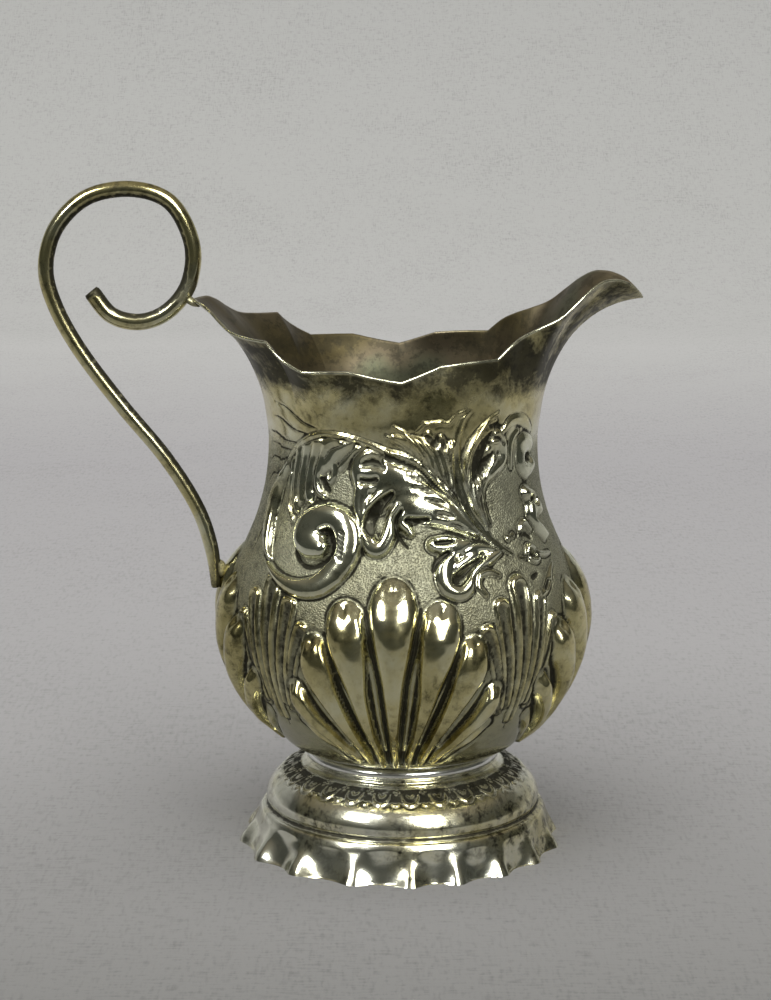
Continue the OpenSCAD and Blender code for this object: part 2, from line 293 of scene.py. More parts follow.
# ---------------------------------------------------------------- ornament of the body
# Each form is a path of (turn, height, half width in mm), on the front panel. The back repeats it.
LEAVES = [
    # the long outer crescent, and the feathers inside the rib
    (0.40, [[(-51, 62.9, 0.4), (-57, 61.4, 0.85), (-61, 58.8, 1.2), (-62.6, 55.4, 1.35), (-61, 52, 1.3),
             (-57.5, 49.4, 1), (-53.5, 48.1, 0.4)]]),
    (0.42, [[(-51.5, 62.9, 0.5), (-51.5, 59.6, 0.75), (-50, 56.4, 0.65), (-48, 53.8, 0.35)],
            [(-47.5, 64.8, 0.9), (-48.4, 61.6, 1.15), (-47.8, 58.4, 1.05), (-46.2, 55.4, 0.55)],
            [(-43.2, 65.8, 1), (-44.8, 62.2, 1.05), (-45.2, 59.2, 0.85), (-44.6, 56.9, 0.5)],
            [(-37.5, 66.2, 1.1), (-40, 62.8, 1.25), (-41.2, 59.6, 1.25), (-40.4, 57.4, 0.75)],
            [(-33, 65.6, 1), (-36.2, 62.8, 1.1), (-37.2, 60.3, 0.95), (-36, 58.9, 0.7), (-33.6, 58.3, 0.55)],
            [(-27.5, 66.9, 0.5), (-32, 66, 0.8), (-35.5, 64.3, 0.7)],
            [(-21.5, 66.5, 0.55), (-26, 65.6, 1), (-30.5, 64, 1.05), (-33.4, 62.5, 0.7)],
            [(-16, 66, 0.45), (-20.5, 65.1, 0.7), (-24.5, 63.6, 0.75), (-26.5, 62.4, 0.45)],
            [(-29.4, 62.9, 0.45), (-29.4, 61.2, 0.5), (-31.2, 60.4, 0.45), (-32.8, 61, 0.4)]]),
    # the big lobed leaf left of the centre and under the vein
    (0.52, [[(-9, 64.9, 0.7), (-14, 65, 0.8), (-18, 63.9, 0.9), (-19.5, 62.2, 0.9), (-18.6, 60.6, 0.8)],
            [(4, 60.9, 1.8), (-2, 61.6, 2), (-8, 61.8, 2.2), (-13, 61.8, 2.3), (-16.6, 62.4, 1.8)],
            [(-16.3, 60, 1.35), (-17, 58, 1.3), (-16.2, 55.8, 1.3), (-14.4, 53.4, 1.4), (-11.6, 51.6, 1.45),
             (-8.6, 51.3, 1.35), (-6, 52.8, 1.25), (-3.8, 55.2, 1.3), (0, 57.4, 1.5), (5, 58.2, 1.9)],
            [(-11, 57.5, 1.6), (-6, 59.2, 1.9), (0, 59.8, 2), (6, 59.6, 2)],
            [(-2, 58.6, 1.4), (4, 57.7, 2.6), (10, 57.4, 2.9), (16, 56.4, 2.3), (22, 54.9, 1.5),
             (28, 53.1, 0.8)],
            [(0, 56.6, 1.2), (0.5, 54.9, 1.1), (2.4, 53.6, 0.7)]]),
    (0.46, [[(-4, 67.6, 0.5), (2, 66.9, 1), (8, 65.4, 1.7), (13, 63.3, 1.9), (17.5, 60.9, 1.5),
             (21.5, 58.3, 0.7)],
            [(9.5, 68, 0.5), (12, 65.6, 1.1), (15.5, 62.6, 1.3)],
            [(15, 67.4, 0.5), (16.6, 64.8, 1.15), (18, 61.6, 1.1)],
            [(20, 66.5, 0.4), (19.8, 63.6, 0.9), (20.4, 60.6, 0.9)]]),
    # the second lobed leaf, right of the centre, and the curl beside it
    (0.52, [[(11.2, 51.9, 1.25), (16, 51.7, 1.6), (22, 51.3, 1.4), (28, 51, 1), (35, 50.5, 0.5)],
            [(16.5, 50.4, 1.2), (14.4, 49, 1.45), (14, 47.2, 1.5), (15.8, 45.8, 1.4), (19.6, 45.4, 1.2),
             (23.4, 46.6, 1.15), (27.5, 48.5, 1.15), (33, 49.6, 0.85), (38, 50.2, 0.4)],
            [(19, 48.6, 1.2), (25, 49.9, 1.2)]]),
    (0.40, [[(27.4, 44.7, 0.6), (25.6, 46, 0.65), (26.8, 47.4, 0.65), (30.5, 47.8, 0.6),
             (34.5, 47.2, 0.4)]]),
    # the frond right of the stem
    (0.34, [[(37, 66.8, 0.9), (41, 66.5, 1.4), (44.6, 65.6, 1.1), (46.4, 64.2, 0.9), (45, 62.9, 0.9),
             (40.5, 61.9, 1), (36, 60.8, 0.9), (33.2, 59.2, 0.6)],
            [(32, 64.6, 1.3), (38, 64.2, 1.3)],
            [(33.2, 58.6, 0.5), (33.2, 56.4, 0.7), (35.4, 54, 0.4)]]),
    (0.30, [[(39.5, 69, 0.7), (34, 67.2, 1.4), (30.2, 64.4, 1.9), (28.4, 61, 1.7), (28.8, 57.6, 1.3),
             (31, 55, 0.9), (34.5, 52.6, 0.4)]]),
    # the forms that lead round to the spout
    (0.34, [[(45.5, 67.6, 0.5), (49, 68.8, 0.7), (54, 69, 0.75), (60, 68.3, 0.75), (66, 66.8, 0.6)]]),
    (0.36, [[(50.6, 61.8, 0.4), (50.2, 64, 0.55), (51.6, 66.2, 0.6), (54.6, 67, 0.5)]]),
    (0.42, [[(59.6, 64.9, 1.7), (59.3, 62.2, 1.7), (61.5, 61, 1.5), (66, 61.5, 1.4)],
            [(62, 65.2, 1.3), (66, 64.6, 1.3)]]),
    (0.38, [[(58.5, 57.6, 1.2), (62.5, 56.6, 1.5), (66, 54.6, 1.3)], [(59.5, 54.6, 1.1), (61.5, 52.6, 1.2),
                                                                      (66, 50.8, 1)], [(60.5, 56, 1.2),
                                                                                       (60.5, 53, 1.2)]]),
    (0.34, [[(49.6, 51.8, 0.45), (51.4, 53.2, 0.55), (54.4, 53.5, 0.55), (57.4, 52.2, 0.4)]]),
    (0.44, [[(50.4, 49.2, 0.45), (52.2, 50.1, 0.55), (55.4, 49.7, 0.5), (57.8, 48.6, 0.45), (54.8, 48, 0.5),
             (51.6, 48.4, 0.45), (50.4, 49.2, 0.45)]]),
    (0.30, [[(57.4, 49, 0.5), (61, 48.5, 0.5), (66, 48.4, 0.3)]]),
    (0.30, [[(46.4, 48.9, 0.25), (49.2, 48.7, 0.25)]]),
    (0.30, [[(42.8, 51.8, 0.5)], [(45.8, 52.1, 0.45)]]),
    (0.34, [[(51.6, 43.2, 0.4), (54.4, 43.9, 0.8), (57.6, 45, 0.8), (61, 46.2, 0.5), (64.5, 47, 0.3)]]),
]
HOLLOWS = [
    (0.22, [(-49.8, 63.6, 0.08), (-50, 60, 0.16), (-49, 56, 0.12)]),
    (0.24, [(-45.4, 64.8, 0.08), (-46.7, 61, 0.18), (-46.2, 57.4, 0.14)]),
    (0.26, [(-40.6, 65.6, 0.08), (-42.6, 62, 0.2), (-43, 58.6, 0.18)]),
    (0.26, [(-35.4, 65.2, 0.08), (-38.3, 62, 0.18), (-38.9, 59, 0.18)]),
    (0.22, [(-30.4, 65.5, 0.08), (-33.6, 64, 0.16)]),
    (0.22, [(-23, 66.3, 0.08), (-28.4, 65.7, 0.16), (-32.6, 64.9, 0.1)]),
    (0.24, [(-19.5, 65.8, 0.08), (-24, 64.4, 0.18), (-27.8, 62.8, 0.12)]),
    (0.42, [(-35, 60.8, 0.5), (-33.4, 59.7, 0.6), (-31.6, 59.2, 0.4)]),
    (0.42, [(-16.4, 63.5, 0.42), (-12.5, 63.7, 0.55), (-8, 63.1, 0.35)]),
    (0.42, [(-16.8, 61.1, 0.5), (-13.4, 61, 0.6), (-10.8, 61.3, 0.45)]),
    (0.55, [(-4.6, 59.2, 0.45), (-8.4, 57.9, 0.75), (-11.4, 56.4, 0.9), (-13.2, 54.6, 0.85),
            (-12.2, 53.5, 0.6)]),
    (0.45, [(1.2, 55.4, 0.45), (5.2, 55.3, 0.55), (9, 55.5, 0.35)]),
    (0.30, [(1, 62, 0.15), (5, 61.6, 0.32), (9.8, 60.8, 0.12)]),
    (0.28, [(3, 60.2, 0.12), (7.5, 59.9, 0.28), (12.5, 59.3, 0.1)]),
    (0.28, [(8, 58.4, 0.1), (12, 58.1, 0.3), (16.5, 57.4, 0.1)]),
    (0.28, [(11.5, 56.3, 0.1), (15, 56, 0.28), (19, 55.5, 0.1)]),
    (0.22, [(17, 54.9, 0.1), (20, 54.5, 0.2), (24, 53.7, 0.1)]),
    (0.40, [(11.8, 52.1, 0.4), (14.8, 52.1, 0.5), (17.8, 52.2, 0.3)]),
    (0.45, [(16, 50.7, 0.42), (13.4, 50.1, 0.48), (11.2, 49.3, 0.38), (10.2, 48.5, 0.25)]),
    (0.50, [(29, 49.6, 0.25), (24.5, 48.9, 0.5), (20, 47.9, 0.7), (17.4, 46.9, 0.62)]),
    (0.24, [(35, 51.4, 0.1), (27, 51.9, 0.2), (21, 50.7, 0.12)]),
    (0.30, [(38.5, 67.4, 0.5), (34.6, 66, 0.9), (31.4, 63.6, 1), (29.8, 61, 0.7)]),
    (0.50, [(39.5, 64.4, 0.4), (36, 63.4, 0.7), (33, 62, 0.6)]),
    (0.40, [(37.6, 68.5, 0.4), (40.5, 68.6, 0.55), (43.6, 68.3, 0.4)]),
    (0.30, [(38, 66.9, 0.3), (42, 66.6, 0.35), (45, 65.8, 0.3)]),
    (0.55, [(60.6, 62.7, 0.7), (64.2, 62.7, 0.8)]),
    (0.50, [(61, 56.6, 0.6), (63.6, 56.1, 0.6)]), (0.50, [(61.6, 53.6, 0.55), (63.8, 53.1, 0.55)]),
    (0.60, [(52.6, 49.3, 0.4), (55.2, 48.8, 0.4)]),
    (0.45, [(50.5, 52, 0.4), (53.4, 51.8, 0.5), (56, 51.2, 0.4)]),
    (0.45, [(54.2, 44, 0.35), (57, 44.9, 0.35)]), (0.35, [(49.6, 46, 0.5), (52.4, 46.3, 0.4)]),
    (0.45, [(-0.6, 57, 0.2), (-2.7, 55.5, 0.38), (-2.7, 53.8, 0.38), (-0.4, 52.4, 0.34), (1.6, 51.6, 0.22)]),
    (0.35, [(9.5, 67.6, 0.5), (12.6, 66.5, 0.55), (13.6, 67.4, 0.4)]), (0.35, [(15.6, 66.9, 0.5),
                                                                               (16.6, 66, 0.4)]),
    (0.30, [(-10, 64.6, 0.1), (-5, 64.3, 0.3), (0, 63.4, 0.3), (4, 62.6, 0.12)]),
]
THIN_LINES = [
    (0.20, [(-51, 60.8, 0.2), (-50.2, 58.2, 0.3), (-48.8, 55.6, 0.28), (-46.8, 53.4, 0.2)]),
    (0.16, [(-58.4, 60.3, 0.15), (-63.4, 57.6, 0.22), (-65, 54.6, 0.25), (-63.2, 51.4, 0.25),
            (-59, 48.6, 0.2)]),
    (0.26, [(5.4, 64, 0.2), (2, 65.4, 0.28), (-3, 66.7, 0.28), (-7, 67.7, 0.18)]),
    (0.24, [(8, 64.4, 0.18), (4.6, 66.6, 0.24), (0.6, 68.2, 0.24), (-4, 69.2, 0.14)]),
    (0.18, [(5, 68.3, 0.15), (9, 69.5, 0.2), (14, 69.7, 0.2), (18, 69.5, 0.2), (20.6, 70.4, 0.15)]),
    (0.20, [(9, 62.8, 0.15), (7.4, 65, 0.22), (3.4, 67, 0.22), (0, 68.2, 0.15)]),
    (0.20, [(12, 61.8, 0.15), (10.6, 64.2, 0.22), (7, 66.6, 0.22), (3.4, 67.9, 0.15)]),
    (0.20, [(15, 60.8, 0.15), (13.8, 63.2, 0.22), (11.4, 65.6, 0.22), (8.4, 67.2, 0.15)]),
    (0.20, [(17.6, 59.8, 0.15), (17, 62.2, 0.22), (15.2, 64.6, 0.22), (13, 66.4, 0.15)]),
    (0.18, [(19.4, 59.2, 0.15), (19.4, 61.6, 0.2), (18.4, 64, 0.2), (16.8, 66, 0.15)]),
    (0.22, [(1.4, 52.2, 0.2), (3.6, 53.5, 0.26), (8, 54.3, 0.26), (14, 54.3, 0.24), (20, 53.7, 0.22),
            (26, 52.5, 0.18)]),
    (0.20, [(-9.6, 54.3, 0.22), (-6.4, 56, 0.26), (-2, 57.8, 0.2)]),
    (0.42, [(41.5, 70.4, 0.18), (36, 69.3, 0.28), (31, 67.4, 0.34), (27.4, 64.9, 0.38), (25.3, 62.2, 0.38),
            (24.9, 59.4, 0.36), (26.4, 56.8, 0.34), (30, 54, 0.26), (33.6, 52, 0.18)]),
    (0.24, [(27.4, 62.6, 0.15), (26.8, 59.6, 0.24), (28.2, 56.6, 0.22), (32, 53.4, 0.15)]),
    (0.24, [(29.2, 61.8, 0.15), (28.6, 59.2, 0.22), (29.8, 56.6, 0.2), (33, 53.6, 0.15)]),
    (0.20, [(30.8, 60.4, 0.15), (30.4, 58.4, 0.2), (31.4, 56.2, 0.18), (34, 53.8, 0.15)]),
    (0.34, [(43.6, 63.9, 0.18), (39.6, 63, 0.28), (35.8, 61.8, 0.3), (32.6, 60.2, 0.28),
            (31.6, 58.4, 0.22)]),
    (0.20, [(37.5, 66.4, 0.16), (40, 66.1, 0.22), (43, 66.3, 0.16)]),
    (0.20, [(34.4, 68, 0.12), (35.8, 67.8, 0.2)]), (0.20, [(33.2, 67, 0.12), (35.6, 66.9, 0.2)]),
    (0.18, [(22.6, 70.8, 0.2), (26.5, 71.2, 0.25)]),
    (0.20, [(17.6, 65.9, 0.18), (20.4, 65.7, 0.22)]), (0.20, [(17.8, 64.9, 0.18), (20.4, 64.8, 0.22)]),
    (0.20, [(18, 63.9, 0.18), (20.4, 63.9, 0.22)]), (0.18, [(18.4, 63, 0.16), (20.6, 63, 0.2)]),
    (0.16, [(8, 69.7, 0.2), (11.4, 69.3, 0.2), (15, 69.8, 0.2)]),
    (0.16, [(10.4, 66.7, 0.2), (13.4, 67.6, 0.22), (16, 66.9, 0.2)]),
]
RIB = [(-58.6, 61.2, 0.15), (-55, 63, 0.22), (-50, 64.9, 0.3), (-44, 66.3, 0.34), (-37, 67.3, 0.34),
       (-29, 67.6, 0.36), (-21, 67.2, 0.38), (-13, 66.3, 0.4), (-6, 65.3, 0.4)]
VEIN = [(-6, 65.4, 0.36), (1, 64.6, 0.36), (7, 63.2, 0.34), (13, 61, 0.34), (18.5, 58.8, 0.34),
        (23, 56.4, 0.34), (28, 54, 0.34), (34, 51.7, 0.3), (41, 50, 0.2)]
STEM = [(27.4, 71, 0.2), (24.4, 69.8, 0.3), (22.4, 67.2, 0.42), (22, 64, 0.58), (22.7, 61, 0.68),
        (24.4, 58.2, 0.72), (27.6, 55.4, 0.7), (32, 53, 0.6), (37, 51.2, 0.45), (43, 49.6, 0.3)]
VOLUTE = [(-53, 47.6, 0.3), (-47, 46.2, 0.75), (-41, 45.4, 1.2), (-35, 45.3, 1.6), (-29, 46, 1.85),
          (-24, 47.9, 2), (-20.8, 50.6, 2.1), (-21.2, 53.2, 2.1), (-25, 55, 2.1), (-31, 55.3, 2.2),
          (-36, 53.8, 2.9), (-36.6, 52.2, 3), (-33.8, 51.3, 2.2), (-31.4, 50.9, 1.6)]
EYE = [(-31.4, 53.2, 0.4), (-28.9, 53.3, 0.55), (-26.7, 52.3, 0.68), (-25.7, 50.8, 0.72),
       (-27.2, 49.4, 0.6), (-31, 48.7, 0.5), (-36, 48.3, 0.45), (-41, 49.2, 0.4), (-44, 51.2, 0.3)]
PUNCHES = [(-22.2, z, 0.24) for z in (53, 52.3, 51.6, 50.9, 50.2, 49.5)]
HAIR = [
    [(-50, 65.5, 0.1), (-58, 65.6, 0.16), (-66, 66.3, 0.14), (-74, 66.2, 0.08)],
    [(-53, 64.4, 0.1), (-60, 64.2, 0.16), (-67, 64.8, 0.14), (-74, 64.4, 0.08)],
    [(-56, 63.2, 0.1), (-62, 62.4, 0.16), (-69, 62.6, 0.14), (-75, 61.6, 0.08)],
    [(-59, 61.6, 0.1), (-65, 60.2, 0.16), (-71, 59.8, 0.14), (-76, 58.2, 0.08)],
    [(-62, 59.4, 0.1), (-67, 57.6, 0.16), (-72, 56.6, 0.12)],
    [(-44, 67.2, 0.1), (-51, 67.6, 0.16), (-59, 68.8, 0.14), (-66, 69, 0.08)],
    [(-37, 68.2, 0.1), (-45, 69, 0.14), (-54, 70.8, 0.12), (-62, 71.4, 0.08)],
    [(-66, 55, 0.12), (-69, 52, 0.16), (-70, 49, 0.12)],
]
PANEL_TURNS = (0, 180)

# The shell fans: where each lobe's head is from the fan's middle, and where it runs to
SHELL_TURNS = (-3.4, 86.6, 176.6, 266.6)
SHELL_LOBES = [
    [(34.5, 23.6, 1), (29, 21, 0.85), (23, 19, 0.65), (19, 17.6, 0.5)],
    [(34.8, 30.3, 0.7), (34.5, 29.8, 1.2), (33.6, 29, 1.65), (32, 27.6, 1.7), (29.4, 25.8, 1.45),
     (26, 23.8, 1.2), (22.6, 21.6, 0.95), (19, 19.4, 0.7), (16.4, 17.4, 0.55)],
    [(26.3, 37.8, 1.05), (26, 37.1, 1.9), (25.3, 35.9, 2.6), (24.3, 33.7, 2.85), (22.5, 31.3, 2.3),
     (20, 28.6, 1.75), (17.6, 26, 1.35), (15, 23, 1.02), (12.6, 20, 0.8), (11, 17.2, 0.6)],
    [(15.8, 43.2, 1.25), (15.5, 42.4, 2.3), (15.1, 41.2, 3.15), (14.6, 39.2, 3.4), (13.6, 36.4, 2.95),
     (12.2, 33.4, 2.3), (11, 30, 1.62), (9.4, 26, 1.18), (8.1, 23, 0.9), (6.6, 20, 0.74), (5.6, 17, 0.58)],
]
SHELL_MIDDLE = [(0, 46.4, 1.35), (0, 45.4, 2.6), (0, 44, 3.5), (0, 42.2, 3.85), (0, 40, 3.5), (0, 36, 2.7),
                (0, 32, 1.95), (0, 28, 1.47), (0, 24, 1.1), (0, 20, 0.82), (0, 17, 0.62)]
SHELL_HEIGHT = 1.65
SHELL_SWELL = ((0, 0), (0.035, 0.28), (0.085, 0.62), (0.15, 0.85), (0.25, 0.97), (0.34, 0.98), (0.5, 0.78),
               (0.75, 0.45), (1, 0.28))
# Flat strips between the lobes
SHELL_STRIPS = [
    [(8.4, 38.4, 0.15), (7.1, 35, 0.42), (6.2, 31, 0.58), (5.4, 27, 0.52), (4.6, 23, 0.42),
     (3.5, 19.5, 0.3)],
    [(20.6, 37, 0.15), (18.7, 34.4, 0.38), (16.7, 31.4, 0.52), (14.2, 28, 0.5), (12, 24.6, 0.42),
     (9.6, 20.6, 0.3)],
    [(30.4, 31.2, 0.3), (28, 28.8, 0.42), (25, 26.2, 0.4), (21.5, 23.6, 0.35), (17.2, 20.2, 0.26)],
]
PLEAT_TURNS = (41.5, 131.5, 221.5, 311.5)
PLEATS = [
    [(14.2, 39.2, 1.35), (11.6, 35.4, 1.2), (9.2, 31, 1), (7, 25.6, 0.8)],
    [(8.6, 42.7, 1.6), (7.6, 38.6, 1.35), (6, 33, 1.1), (4.4, 26.6, 0.85)],
]
PLEAT_MIDDLE = [(0, 45.2, 2.05), (0, 41.4, 1.75), (0, 35.4, 1.25), (0, 28, 0.9), (0, 23.6, 0.75)]


def placed(points, turn, mirrored=False):
    sign = -1 if mirrored else 1
    return [(turn + sign * t, z, w) for t, z, w in points]


def on_both_sides(forms, turn):
    """Each form at a turn, as it is drawn and then mirrored."""
    return [placed(form, turn, mirrored) for form in forms for mirrored in (False, True)]


def widened(points, factor):
    return [(t, z, w * factor) for t, z, w in points]


def emboss_pleat(relief, path, height):
    """A tongue with a raised border and a dark speckled hollow."""
    relief.raised(path, height, power=0.5, outline=0.18)
    relief.carved([(t, z - 0.3, w * 0.55) for t, z, w in path], height * 0.85, dirt=0.55)
    relief.carved([(t - 0.1, z - 1.6, w * 0.22) for t, z, w in path], 0.08, dirt=0.8)


def emboss_fans(relief):
    for turn in PLEAT_TURNS:
        for path in on_both_sides(PLEATS, turn):
            emboss_pleat(relief, path, 0.5)
        emboss_pleat(relief, placed(PLEAT_MIDDLE, turn), 0.58)
    for turn in SHELL_TURNS:
        for path in on_both_sides(SHELL_LOBES, turn) + [placed(SHELL_MIDDLE, turn)]:
            # a lobe narrower than 2.3 mm below its head is also lower
            height = SHELL_HEIGHT * min(1, path[3][2] / 2.3)
            relief.raised(path, height, power=0.75, outline=0.3, swell=SHELL_SWELL, broad=0.36)
        for path in on_both_sides(SHELL_STRIPS, turn):
            relief.raised(widened(path, 0.75), 0.16, power=0.3, outline=0.06)


def emboss_panel(relief, turn):
    for form in HAIR:
        relief.carved(widened(placed(form, turn), 1.5), 0.22, dirt=1.0)
    for height, forms in LEAVES:
        relief.leaf([placed(form, turn) for form in forms], height)
    for depth, form in HOLLOWS:
        relief.carved(placed(form, turn), depth)
    for height, form in THIN_LINES:
        relief.ridge(placed(form, turn), height)
    relief.raised(placed(RIB, turn), 0.34, power=0.5)
    relief.raised(placed(VEIN, turn), 0.22, power=0.5, base=0.3)
    relief.raised(placed(STEM, turn), 0.3, power=0.6, outline=0.09)
    relief.carved(widened(placed(STEM, turn), 0.55), 0.16, dirt=0.3)
    relief.raised(placed(VOLUTE, turn), 0.95, power=0.5, outline=0.2)
    relief.carved(placed(EYE, turn), 0.6, dirt=0.9)
    for t, z, w in placed(PUNCHES, turn):
        relief.carved([(t - 0.9, z + 0.2, w), (t, z, w), (t + 0.7, z - 0.25, w * 0.7)], 0.16, dirt=0.8)


# ---------------------------------------------------------------- meshes from grids
# What the silver reads at each point, from 0 to 1; a piece without one of them has 0 everywhere. Besides real
# dirt, the dirt attribute holds painted shade on the handle and the foot's border, and the edge attribute
# holds a painted highlight on the front of the rim.
ATTRIBUTES = ("dirt", "matte", "proud", "inside", "edge")


def grid_object(name, points, closed_ends, **values):
    """A mesh from rings of points that close round; the first and last ring may be closed by a fan."""
    rows, columns = points.shape[:2]
    vertices = points.reshape(-1, 3)
    index = np.arange(rows * columns).reshape(rows, columns)
    right = np.roll(index, -1, axis=1)
    quads = np.stack([index[:-1], right[:-1], right[1:], index[1:]], axis=-1).reshape(-1, 4)
    triangles = np.zeros((0, 3), int)
    for end in (0, -1) if closed_ends else ():
        centre = np.full(columns, len(vertices))
        vertices = np.concatenate([vertices, points[end].mean(0)[None]])
        ring, nearby = index[end], right[end]
        fan = [nearby, ring, centre] if end == 0 else [ring, nearby, centre]
        triangles = np.concatenate([triangles, np.stack(fan, axis=-1)])
    mesh = bpy.data.meshes.new(name)
    mesh.vertices.add(len(vertices))
    mesh.vertices.foreach_set("co", (vertices * MM).astype(np.float32).ravel())
    corners = np.concatenate([quads.ravel(), triangles.ravel()])
    mesh.loops.add(len(corners))
    mesh.loops.foreach_set("vertex_index", corners.astype(np.int32))
    mesh.polygons.add(len(quads) + len(triangles))
    starts = np.concatenate([np.arange(len(quads)) * 4, quads.size + np.arange(len(triangles)) * 3])
    mesh.polygons.foreach_set("loop_start", starts.astype(np.int32))
    mesh.update(calc_edges=True)
    mesh.polygons.foreach_set("use_smooth", np.ones(len(mesh.polygons), bool))
    for key in ATTRIBUTES:
        flat = np.zeros(len(vertices), np.float32)
        if key in values:
            flat[:] = values[key].flat[0]
            flat[:rows * columns] = values[key].ravel()
        mesh.attributes.new(key, "FLOAT", "POINT").data.foreach_set("value", flat)
    mesh.validate()
    piece = bpy.data.objects.new(name, mesh)
    bpy.context.scene.collection.objects.link(piece)
    return piece


def arc_lengths(points):
    steps = np.linalg.norm(np.diff(points, axis=0), axis=-1)
    return np.concatenate([np.zeros((1, points.shape[1])), np.cumsum(steps, axis=0)])


COLUMNS = 840
ROW_STEP = 0.21
BOWL_ARC, NECK_ARC, LIP_ARC = 27.6, 29.8, 19.0  # about how long each curve of the body is


def body_surface():
    """Outside of the smooth sheet as a grid, with its turns and the row where the lip begins."""
    turns = all_turns(COLUMNS)
    bowl = np.linspace(0, 1, int(BOWL_ARC / ROW_STEP))[:, None]
    neck = np.linspace(0, 1, int(NECK_ARC / ROW_STEP))[1:, None]
    lip = np.linspace(0, 1, int(LIP_ARC / ROW_STEP))[1:, None]
    flat = np.zeros((1, COLUMNS))
    curves = [(BOWL_CURVE, bowl + flat), (NECK_CURVE, neck + flat), (lip_curves(turns), lip + flat)]
    r, z = (np.concatenate(part) for part in zip(*(bezier(c, t) for c, t in curves)))
    return to_xyz(r, z, turns), turns, r, z, len(bowl) + len(neck)


def lip_panels(turns):
    """How far the lip bulges between its creases, in mm, except next to the spout."""
    a = from_spout(turns)
    creases = np.array(LIP_CREASES)
    k = np.clip(np.searchsorted(creases, a, side="right") - 1, 0, len(creases) - 2)
    across = (a - creases[k]) / (creases[k + 1] - creases[k])
    return 0.32 * (1 - np.abs(2 * across - 1) ** 2.5) * (a > LIP_CREASES[1])


def body_height(relief, z, arc, turns, waist_arc):
    """Height of the worked sheet over the smooth one: embossing, sunk ground, uneven hand work and lip."""
    fade = smoothstep(arc, 0.4, 3.0)
    forms = smoothstep(relief.height, 0.12, 0.4)
    sink = 0.2 * (1 - smoothstep(z, 64, 69)) + 0.55 * (1 - smoothstep(z, 39, 47))
    height = relief.height * fade - sink * smoothstep(z, 15.5, 20) * (1 - smoothstep(relief.height, 0.1, 0.8))
    height += 0.075 * np.clip(64 - z, 0, 8) * smoothstep(z, 44, 52) * forms
    height -= 0.4 * smoothstep(z, 16, 23) * (1 - smoothstep(z, 44, 54))
    uneven = 0.10 * wobble(*z.shape, 9, 12) + 0.03 * wobble(*z.shape, 26, 40)
    uneven += 0.02 * wobble(*z.shape, 70, 100) * forms
    up = smoothstep(arc, waist_arc + 4, waist_arc + 11)
    return height + (uneven + lip_panels(turns)[None, :] * up) * fade


WALL, LIP_THINNING = 0.7, 0.34
INSIDE_ROW_STEP = 3  # the inside is smoother, so it has every third row
CAP_SHARES = (0.02, 0.35, 0.7)  # radii of the rings that close the bowl's flat base, outside and inside


def make_body():
    smooth, turns, r, z, lip_row = body_surface()
    arc = arc_lengths(smooth)
    # the bowl and neck are round, so any column gives the arc at a height; above, it goes on from the waist
    column = 3 * COLUMNS // 4
    waist_arc = arc[lip_row - 1, column]

    def arc_at(height):
        below = np.interp(height, z[:lip_row, column], arc[:lip_row, column])
        return below + max(0.0, height - WAIST_Z)

    relief = Relief(turns, r, arc, arc_at)
    relief.matte = smoothstep(z, 36, 42) * (1 - smoothstep(z, 62, 67))
    emboss_fans(relief)
    for turn in PANEL_TURNS:
        emboss_panel(relief, turn)
    relief.finish()
    height = body_height(relief, z, arc, turns, waist_arc)
    n = normals_of(smooth)
    outside = smooth + n * height[..., None]
    rows = len(r)
    keep = np.unique(np.concatenate([np.arange(0, rows, INSIDE_ROW_STEP), [rows - 1]]))[::-1]
    thickness = WALL - LIP_THINNING * smoothstep(arc, waist_arc + 6, waist_arc + 12)
    inside = (smooth + n * (0.9 * blurred(height, 5) - thickness)[..., None])[keep]
    tangent = outside[-1] - outside[-3]
    tangent /= np.linalg.norm(tangent, axis=-1, keepdims=True)
    rim = (0.5 * (outside[-1] + inside[0]) + 0.1 * tangent)[None]
    start = [outside[:1] * [f, f, 1] for f in CAP_SHARES]
    end = [inside[-1:] * [f, f, 1] for f in reversed(CAP_SHARES)]
    points = np.concatenate(start + [outside, rim, inside] + end)

    def spread(out_value, rim_value, in_value):
        """Values for all rings of points; the caps take those of the rings next to them."""
        caps = [out_value[:1]] * len(CAP_SHARES), [in_value[-1:]] * len(CAP_SHARES)
        return np.concatenate(caps[0] + [out_value, rim_value[None], in_value] + caps[1])

    no_rim, all_rim = np.zeros(COLUMNS), np.ones(COLUMNS)
    no_outside, no_inside = np.zeros_like(r), np.zeros_like(r[keep])
    # painted highlight: the clean bright edge is kept near full on the front half of the rim and fades to a
    # quarter at the back, so the near rim shows a bright line
    worn = 0.25 + 0.7 * smoothstep(np.cos(np.radians(turns)), -0.1, 0.4)[None, :]
    from_edge = arc[-1] - arc
    return grid_object(
        "embossed_body", points, True,
        dirt=spread(relief.dirt * smoothstep(arc, 0.4, 3.0), no_rim, no_inside),
        matte=spread(relief.matte, no_rim, no_inside),
        proud=spread(smoothstep(relief.height, 0.06, 0.3), all_rim, no_inside),
        inside=spread(no_outside, no_rim, np.ones_like(no_inside)),
        edge=spread(bump_at(from_edge, 0.25) * worn, worn[0], bump_at(from_edge[keep], 0.2) * worn),
    )


# ---------------------------------------------------------------- foot
# Turns of the outward folds between the flutes of the hem
FOLD_TURNS = (-172, -151, -129, -107, -85, -61.5, -41.5, -18.5, 3, 20, 38.5, 57, 77, 99, 121, 143, 165)
FOOT_PROFILE = [
    (24.8, 0), (24.1, 1.3), (23.4, 2.8), (22.85, 4.2), (22.55, 5.1), (22.2, 5.75), (21.55, 6), (21.2, 6.3),
    (21.35, 6.8), (21.45, 7.5), (21.3, 8.3), (20.8, 9.4), (20, 10.4), (18.9, 11.3), (17.6, 11.95),
    (16.3, 12.45), (15.3, 12.8), (14.9, 13.15),
]


BORDER_REPEATS, BORDER_Z = 26, 12.0
FOOT_WALL = 0.75
FOOT_TOP_R, FOOT_TOP_Z, FOOT_UNDER_Z = 12.6, 13.2, 12.45


